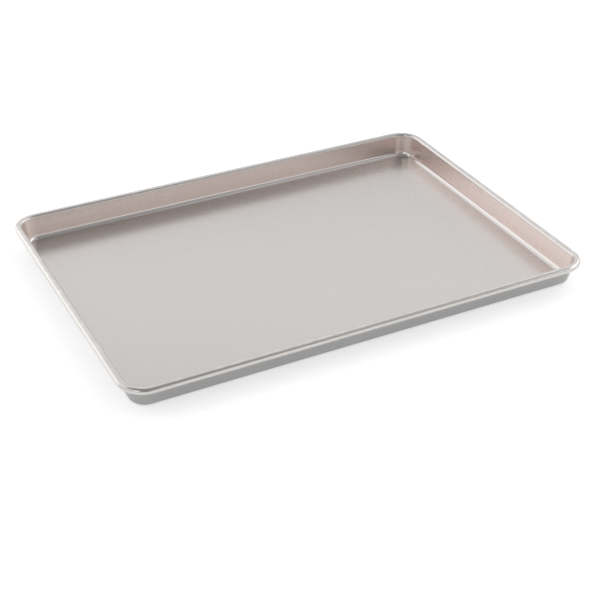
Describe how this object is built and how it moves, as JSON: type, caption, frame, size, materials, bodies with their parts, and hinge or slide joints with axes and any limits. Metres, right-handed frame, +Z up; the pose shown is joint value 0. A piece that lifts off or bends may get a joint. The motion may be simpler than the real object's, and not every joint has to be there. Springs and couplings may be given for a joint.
{
  "type": "rimmed baking sheet",
  "caption": "Rectangular rimmed baking sheet of coated steel with a flat floor, flared walls, round corners and a wire rolled into the rim.",
  "frame": {"origin": "middle of the tray, on the underside of its flat floor", "axes": "+X along the long sides, +Y along the short sides towards the side where the wire's ends meet, +Z up out of the open tray"},
  "size_m": [0.457, 0.324, 0.024],
  "materials": {
    "coated_sheet": "satin warm-grey non-stick coat on sheet steel",
    "steel_wire": "bright drawn wire"
  },
  "bodies": {
    "root": {"pan_body": "coated_sheet", "rim_wire": "steel_wire"}
  },
  "joints": []
}
